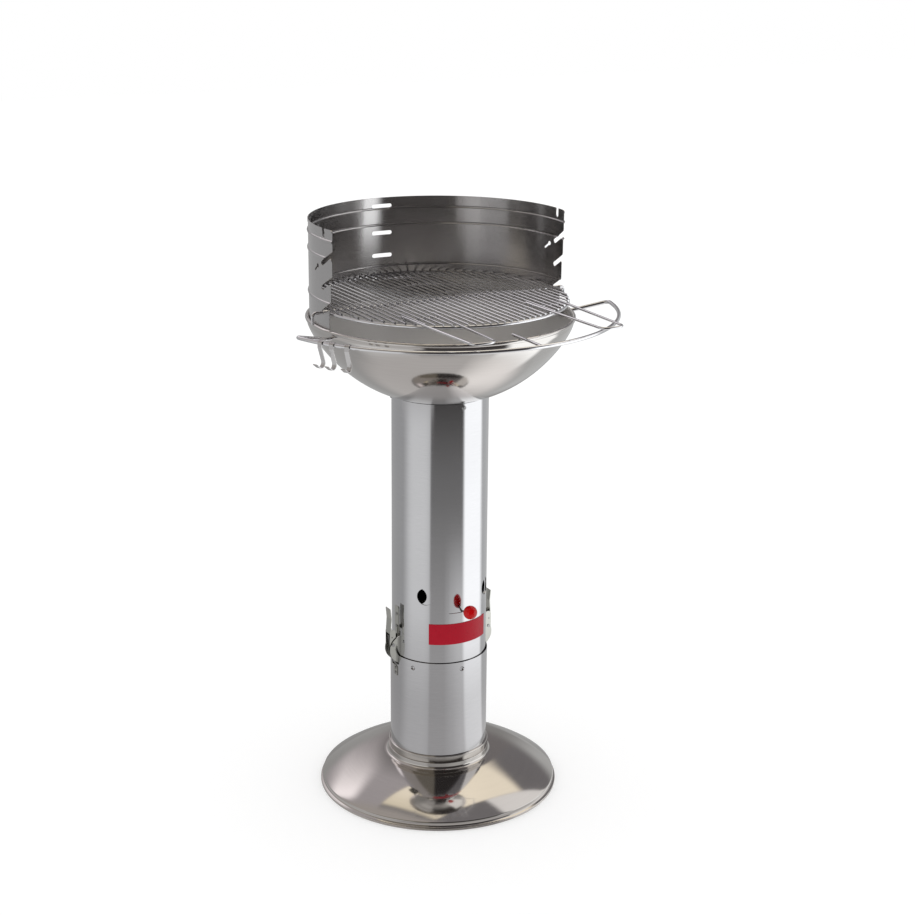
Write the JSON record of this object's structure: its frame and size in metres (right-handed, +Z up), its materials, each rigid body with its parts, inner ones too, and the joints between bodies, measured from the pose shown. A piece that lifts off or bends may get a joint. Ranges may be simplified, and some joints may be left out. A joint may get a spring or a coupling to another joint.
{
  "type": "column charcoal grill",
  "caption": "Free-standing charcoal grill: domed base, column with air damper and toggle latches, bowl, rod grid with wire handles, slotted windscreen and hook rail.",
  "frame": {"origin": "on the floor, on the axis of the column", "axes": "+Z up along the column, -Y towards the front, where the rail, the handles and the damper's knob are"},
  "size_m": [0.6408, 0.619, 1.107],
  "materials": {
    "steel_base": "polished stainless, spun",
    "steel_column": "satin stainless, ground lengthways",
    "steel_bowl": "polished stainless, spun",
    "steel_screen": "rolled stainless sheet",
    "chrome_wire": "chromed wire",
    "grate_wire": "plain steel wire",
    "latch_steel": "zinc-plated pressed steel",
    "fastener": "plain steel",
    "inner_steel": "plain stainless, unpolished",
    "badge_red": "red enamel, bare",
    "knob_red": "gloss red"
  },
  "bodies": {
    "stand": {"base_plate": "steel_base", "base_collar": "steel_base", "base_bolts": "fastener", "base_nuts": "fastener", "reservoir_tube": "steel_column", "reservoir_floor": "inner_steel", "upper_tube": "steel_column", "bowl": "steel_bowl", "bowl_spigot": "inner_steel", "bowl_screws": "fastener", "badge_plate": "badge_red", "latch_base_left": "latch_steel", "latch_base_right": "latch_steel", "latch_catch_left": "latch_steel", "latch_catch_right": "latch_steel", "latch_pins": "fastener", "latch_rivets": "fastener", "front_rail": "chrome_wire", "rail_strut": "chrome_wire", "rail_nuts": "fastener"},
    "damper": {"damper_sleeve": "steel_column", "damper_lever": "fastener", "damper_knob": "knob_red"},
    "lever_left": {"latch_lever_left": "latch_steel"},
    "lever_right": {"latch_lever_right": "latch_steel"},
    "bail_left": {"latch_bail_left": "fastener"},
    "bail_right": {"latch_bail_right": "fastener"},
    "screen": {"windscreen": "steel_screen"},
    "grid": {"grid_ring": "chrome_wire", "grid_rods": "chrome_wire", "grid_cross_rod": "chrome_wire", "grid_tongue": "chrome_wire", "grid_handle_left": "chrome_wire", "grid_handle_right": "chrome_wire", "grid_handle_bars": "chrome_wire"},
    "charcoal_grate": {"charcoal_ring": "grate_wire", "charcoal_rods": "grate_wire"},
    "hook_1": {"hook_1": "steel_screen"},
    "hook_2": {"hook_2": "steel_screen"},
    "hook_3": {"hook_3": "steel_screen"}
  },
  "joints": [
    {"name": "damper_turn", "type": "hinge", "parent": "stand", "child": "damper", "pos_m": [0, 0, 0.378], "axis": [0, 0, 1], "range_deg": [-12.5, 12.5]},
    {"name": "latch_left_open", "type": "hinge", "parent": "stand", "child": "lever_left", "pos_m": [-0.104, 0, 0.3], "axis": [0, -1, 0], "range_deg": [0, 150]},
    {"name": "latch_right_open", "type": "hinge", "parent": "stand", "child": "lever_right", "pos_m": [0.104, 0, 0.3], "axis": [0, 1, 0], "range_deg": [0, 150]},
    {"name": "bail_left_swing", "type": "hinge", "parent": "lever_left", "child": "bail_left", "pos_m": [-0.10557, 0, 0.31492], "axis": [0, -1, 0], "range_deg": [-150, 0]},
    {"name": "bail_right_swing", "type": "hinge", "parent": "lever_right", "child": "bail_right", "pos_m": [0.10557, 0, 0.31492], "axis": [0, 1, 0], "range_deg": [-150, 0]},
    {"name": "windscreen_lift", "type": "slide", "parent": "stand", "child": "screen", "axis": [0, 0, 1], "range_m": [0, 0.12]},
    {"name": "grid_slide", "type": "slide", "parent": "screen", "child": "grid", "axis": [0, -0.866, 0.5], "range_m": [0, 0.036]},
    {"name": "charcoal_lift", "type": "slide", "parent": "stand", "child": "charcoal_grate", "axis": [0, 0, 1], "range_m": [0, 0.1]},
    {"name": "hook_1_swing", "type": "hinge", "parent": "stand", "child": "hook_1", "pos_m": [-0.2987, -0.1289, 0.9345], "axis": [-0.4131, 0.9107, 0], "range_deg": [-20, 30]},
    {"name": "hook_2_swing", "type": "hinge", "parent": "stand", "child": "hook_2", "pos_m": [-0.28798, -0.15041, 0.9345], "axis": [-0.4787, 0.878, 0], "range_deg": [-20, 30]},
    {"name": "hook_3_swing", "type": "hinge", "parent": "stand", "child": "hook_3", "pos_m": [-0.27192, -0.17681, 0.9345], "axis": [-0.5592, 0.829, 0], "range_deg": [-20, 30]}
  ],
  "couplings": [
    {"joint": "bail_left_swing", "follows": "latch_left_open", "ratio": -1},
    {"joint": "bail_right_swing", "follows": "latch_right_open", "ratio": -1}
  ]
}
